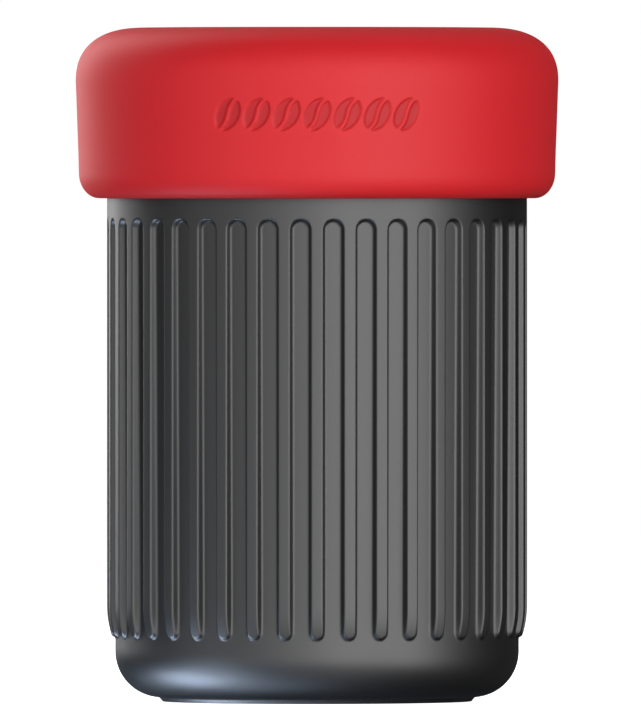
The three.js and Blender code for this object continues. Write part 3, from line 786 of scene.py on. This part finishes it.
def make_filter_cap():
    """The paper in the cap, then the cap's skirt and pierced plate."""
    radii, edge = (0, 10, 18, 24, 29), PAPER_HIGH.x
    paper = spun([
        *[(radius, PAPER_LOW.z) for radius in radii],
        (edge - 0.1, PAPER_LOW.z), (edge, PAPER_LOW.z + 0.1), (edge, PAPER_HIGH.z),
        *[(radius, PAPER_HIGH.z) for radius in reversed(radii)],
    ], 160)
    reshape(paper, crinkle)
    finish = crepe_paper("cap_paper", 1700)
    make_piece("cap_filter_paper", paper, finish, "cap_filter", "cap_filter")
    hem, top, edge = CAP_LOW.z, CAP_HIGH.z, CAP_HIGH.x
    plate_foot = top - CAP_PLATE
    skirt = spun([
        (PLATE_EDGE, plate_foot), (CAP_BORE - 0.6, plate_foot),
        *arc((CAP_BORE - 0.6, plate_foot - 0.6), (0.6, 0.6), (90, 0), 3),
        *[(CAP_BORE, height) for height in (125.2, 124.8, 124.4, 123, 122.6, 122.2, hem + 0.5)],
        (CAP_BORE + 0.5, hem),
        *arc((edge - 0.5, hem + 0.5), (0.5, 0.5), (-90, 0), 3),
        (edge, hem + 1), (edge, hem + 2), (edge, hem + 2.6),
        (edge, top - 3.2), (edge, top - 2.6), (edge, top - 1.8),
        *arc((edge - 1.7, top - 1.7), (1.7, 1.7), (0, 90), 6),
        (PLATE_EDGE + 1.6, top), (PLATE_EDGE + 1.2, top - 0.3), (PLATE_EDGE, top - 0.3),
    ], 720, ring=True)
    reshape(skirt, grip_cap)
    cap = gathered(skirt, pierced_plate(plate_foot, CAP_PLATE - 0.3))
    finish = black_plastic("cap_black", 0.013)
    make_piece("filter_cap_pierced", cap, finish, "filter_cap", "filter_cap")


make_filter_cap()


# ---- Lid ----
# The lid is one moulding in matte red silicone, domed over the press and stretched over the mug's
# rim. A row of coffee beans is sunk into its front. Skin oil and dust leave it slightly uneven.

LID_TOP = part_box("lid")[1].z / MM
LID_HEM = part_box("lid")[0].z / MM
LID_COLUMNS = 640
LID_OUTSIDE = 48.3
FRONT_CROWDING = 0.45
BEAN_COUNT = 7
BEAN_PITCH = 6.2
BEAN_HEIGHT = 119.3
BEAN_LONG, BEAN_SHORT = 3.8, 2.6
BEAN_DEPTH = 0.4
BEAN_LEAN = math.radians(58)
BEAN_WALL = 48.85


def red_silicone():
    """Matte red silicone with a soft bloom, fine dust and hardly any grain, painted darker in the
    sunken beans as painted shade.
    """
    finish = Finish(
        "red_silicone", Specular_IOR_Level=0.27, IOR=1.41, Sheen_Weight=0.02, Sheen_Roughness=0.4,
        Sheen_Tint=(1.0, 0.85, 0.85, 1),
    )
    cloud = finish.noise(22, 3.0)
    grain = finish.noise(3000, 2.0)
    dust = finish.between(finish.noise(900, 4.0, 0.7), 0.68, 0.8)
    deep, bright = (0.69, 0.0135, 0.0195, 1), (0.74, 0.0165, 0.0235, 1)
    # The sunken beans are painted darker by their depth: painted shade in their hollows.
    sunk = finish.node("ShaderNodeAttribute", {"attribute_name": "sunk"}, {}).outputs["Fac"]
    bean_shade = Varying(finish, sunk) * 0.85
    colour = finish.blend(bean_shade, finish.blend(cloud, deep, bright), (0.5, 0.011, 0.016, 1))
    dusty = finish.blend(dust * 0.06, colour, (0.8, 0.5, 0.5, 1))
    finish.paint(dusty, 0.5 + grain * 0.06 + cloud * 0.04)
    finish.relief(grain, 0.01 * MM, 0.5)
    return finish


def squared_corner(centre, radii, steps):
    """Points from the top down an outer corner that is a little squarer than an ellipse."""
    power = 2 / 2.4
    turns = [math.radians(90 * (1 - i / steps)) for i in range(steps + 1)]
    return [
        (centre[0] + radii[0] * math.cos(a) ** power, centre[1] + radii[1] * math.sin(a) ** power)
        for a in turns
    ]


def lid_outline():
    """The roof, corner, wall and hem outside, then the bead, ledge and pocket inside."""
    return [
        (0, LID_TOP),
        (18, LID_TOP),
        (31, LID_TOP),
        *squared_corner((35, 126), (14.08, LID_TOP - 126), 26),
        *straight((48.99, 123.9), (48.68, 115.1), 50),
        (48.58, 112.6),
        (48.5, 109.8),
        *arc((44.3, 107.5), (4.15, 107.5 - LID_HEM), (0, -90), 14),
        *arc((43.3, LID_HEM + 0.4), (0.4, 0.4), (-90, -180), 3),
        *arc((43.3, 106), (0.4, 0.5), (180, 90), 3),
        *arc((44.6, 107.5), (0.9, 1), (-90, 0), 3),
        *arc((45.2, 116.7), (0.3, 0.4), (0, 90), 2),
        *arc((41, 118), (0.4, 0.9), (270, 90), 6),
        *arc((45.1, 119.4), (0.5, 0.5), (-90, 0), 2),
        *arc((36, 126.4), (9.6, 7.5), (0, 90), 10),
        (0, 133.9),
    ]


def bean_depth(along, height):
    """How deep the front is sunk at a place along the wall: beans, with a crease left proud."""
    bean = round(along / BEAN_PITCH)
    if abs(bean) > BEAN_COUNT // 2:
        return 0
    x, z = along - bean * BEAN_PITCH, height - BEAN_HEIGHT
    u = x * math.cos(BEAN_LEAN) + z * math.sin(BEAN_LEAN)
    v = z * math.cos(BEAN_LEAN) - x * math.sin(BEAN_LEAN)
    inside = (1 - math.hypot(u / BEAN_LONG, v / BEAN_SHORT)) * BEAN_SHORT
    crease = abs(v - 0.4 * math.sin(u * math.pi / BEAN_LONG)) - 0.22
    return BEAN_DEPTH * smoothly(inside / 0.45) * smoothly(crease / 0.4)


def sink_beans(radius, turn, height):
    """Crowds the columns towards the front and sinks the row of beans into the wall there."""
    share = ((turn + math.pi / 2 + math.pi) % (2 * math.pi) - math.pi) / math.pi
    aside = math.pi * (FRONT_CROWDING * share + (1 - FRONT_CROWDING) * share ** 3)
    if radius > LID_OUTSIDE + 0.2:
        radius -= bean_depth(aside * BEAN_WALL, height)
    return radius, aside - math.pi / 2, height


def mark_beans(mesh):
    """Stores how far each place is sunk, from 0 to 1. The lid's colour is painted darker there, as
    painted shade in the beans.
    """
    sunk = mesh.verts.layers.float.new("sunk")
    for vertex in mesh.verts:
        if vertex.co.xy.length > LID_OUTSIDE * MM and vertex.co.y < 0:
            along = math.atan2(vertex.co.x, -vertex.co.y) * BEAN_WALL
            vertex[sunk] = bean_depth(along, vertex.co.z / MM) / BEAN_DEPTH


lid_mesh = spun(lid_outline(), LID_COLUMNS)
reshape(lid_mesh, sink_beans)
mark_beans(lid_mesh)
make_piece("lid_silicone", lid_mesh, red_silicone(), "lid", "lid")


# ---- Studio ----
# A pale table in a dark room. Tall strips all round show only as gloss in the plastic, and softer
# lamps that show in no gloss bring out its colour. Small cool lamps catch the mug's base corner.

BODY_MIDDLE = Vector((0, 0, (cad_low.z + cad_high.z) / 2))
BASE_MIDDLE = Vector((0, 0, 6 * MM))
WHITE, COOL = (1, 1, 1), (0.82, 1.0, 1.3)
AMBIENT = 0.03


def hang_lamp(name, middle, azimuth, elevation, distance, size, watts, colour, gloss):
    """A rectangular lamp that faces middle. Azimuth is from the camera, positive to the right."""
    light = bpy.data.lights.new(name, "AREA")
    light.shape = "RECTANGLE"
    light.size, light.size_y = size
    light.energy = watts
    light.color = colour
    lamp = bpy.data.objects.new(name, light)
    turn, rise = math.radians(azimuth), math.radians(elevation)
    level = math.cos(rise)
    away = Vector((math.sin(turn) * level, -math.cos(turn) * level, math.sin(rise)))
    lamp.location = middle + away * distance
    lamp.rotation_euler = away.to_track_quat("Z", "Y").to_euler()
    lamp.visible_camera = False
    lamp.visible_glossy = gloss
    lamp.visible_diffuse = not gloss
    bpy.context.scene.collection.objects.link(lamp)


STRIPS = [
    (-85, 0.35), (-65, 1.0), (-45, 0.9), (-25, 1.85), (-5, 2.6), (15, 4.9), (35, 3.5), (55, 5.0),
    (75, 1.05), (150, 0.06),
]
for azimuth, watts in STRIPS:
    hang_lamp(f"strip_{azimuth}", BODY_MIDDLE, azimuth, 4, 1.0, (0.36, 1.3), watts, WHITE, True)
for azimuth, watts in [(-148, 3.8), (-125, 2.2)]:
    hang_lamp(f"rim_{azimuth}", BODY_MIDDLE, azimuth, 24, 1.0, (0.36, 1.0), watts, WHITE, True)

# Each row gives a lamp's name, azimuth, elevation, distance, size, watts and colour.
GLOSS_LAMPS = [
    ("gloss_top", 0, 50, 1.0, (0.8, 0.4), 0.2, WHITE),
    ("gloss_low_left", -30, -50, 0.6, (0.35, 0.3), 0.15, COOL),
    ("gloss_low_right", 20, -50, 0.6, (0.35, 0.3), 0.16, WHITE),
    ("gloss_under", -60, -75, 0.6, (0.3, 0.3), 0.28, COOL),
]
for name, *place_and_light in GLOSS_LAMPS:
    hang_lamp(name, BODY_MIDDLE, *place_and_light, True)

BASE_LAMPS = [(-90, -60, 0.02), (-90, -40, 0.16), (-60, -40, 0.034), (-60, -22, 0.022)]
for azimuth, elevation, watts in BASE_LAMPS:
    name = f"base_{azimuth}_{elevation}"
    hang_lamp(name, BASE_MIDDLE, azimuth, elevation, 0.16, (0.07, 0.07), watts, COOL, True)

LAMPS = [
    (-150, 7.8), (-128, 0.5), (-110, 0.5), (-70, 0.5), (-40, 3.7), (-10, 0.3), (35, 6.7),
    (60, 0.9), (130, 0.6),
]
for azimuth, watts in LAMPS:
    hang_lamp(f"lamp_{azimuth}", BODY_MIDDLE, azimuth, 6, 1.0, (0.6, 0.8), watts, WHITE, False)
SOFT_LAMPS = [
    ("lamp_under", -10, -50, 0.6, (0.4, 0.3), 0.35, WHITE),
    ("lamp_low_left", -65, -35, 0.8, (0.4, 0.3), 0.7, COOL),
    ("lamp_top", 0, 60, 1.0, (0.8, 0.5), 0.6, WHITE),
    ("lamp_back", 180, 60, 1.0, (0.8, 0.5), 3.3, WHITE),
]
for name, *place_and_light in SOFT_LAMPS:
    hang_lamp(name, BODY_MIDDLE, *place_and_light, False)

world = bpy.data.worlds.new("studio")
world.use_nodes = True
nodes, links = world.node_tree.nodes, world.node_tree.links
ray = nodes.new("ShaderNodeLightPath")
brightness = nodes.new("ShaderNodeMapRange")
brightness.inputs["To Min"].default_value = AMBIENT
brightness.inputs["To Max"].default_value = 1.0
links.new(ray.outputs["Is Camera Ray"], brightness.inputs["Value"])
links.new(brightness.outputs[0], nodes["Background"].inputs["Strength"])
nodes["Background"].inputs["Color"].default_value = (1, 1, 1, 1)
world.cycles_visibility.glossy = False
bpy.context.scene.world = world

floor_finish = Finish(
    "pale_floor", Base_Color=(0.85, 0.85, 0.85, 1), Roughness=1.0, Specular_IOR_Level=0,
    Emission_Color=(1, 1, 1, 1), Emission_Strength=1.0,
)
floor_mesh = bmesh.new()
bmesh.ops.create_circle(floor_mesh, cap_ends=True, segments=96, radius=2.5)
floor_data = bpy.data.meshes.new("floor")
floor_mesh.to_mesh(floor_data)
floor_mesh.free()
floor_data.materials.append(floor_finish.material)
floor = bpy.data.objects.new("floor", floor_data)
bpy.context.scene.collection.objects.link(floor)
floor.visible_diffuse = False
floor.visible_glossy = False
floor.visible_shadow = False

# It looks down slightly.
CAMERA_DISTANCE = 5.8
CAMERA_RISE = math.radians(0.4)
KIT_SHARE_OF_FRAME = 0.9356
FRAME_HEIGHT = (cad_high.z - cad_low.z) / KIT_SHARE_OF_FRAME
camera_data = bpy.data.cameras.new("camera")
camera_data.sensor_width = 36
camera_data.lens = camera_data.sensor_width * CAMERA_DISTANCE / FRAME_HEIGHT
camera_data.clip_end = 20
camera = bpy.data.objects.new("camera", camera_data)
aim = Vector((0.0007, 0, 0.0694))
back = Vector((0, -math.cos(CAMERA_RISE), math.sin(CAMERA_RISE)))
camera.location = aim + back * CAMERA_DISTANCE
camera.rotation_euler = back.to_track_quat("Z", "Y").to_euler()
bpy.context.scene.collection.objects.link(camera)
bpy.context.scene.camera = camera
bpy.context.scene.view_settings.view_transform = "Standard"
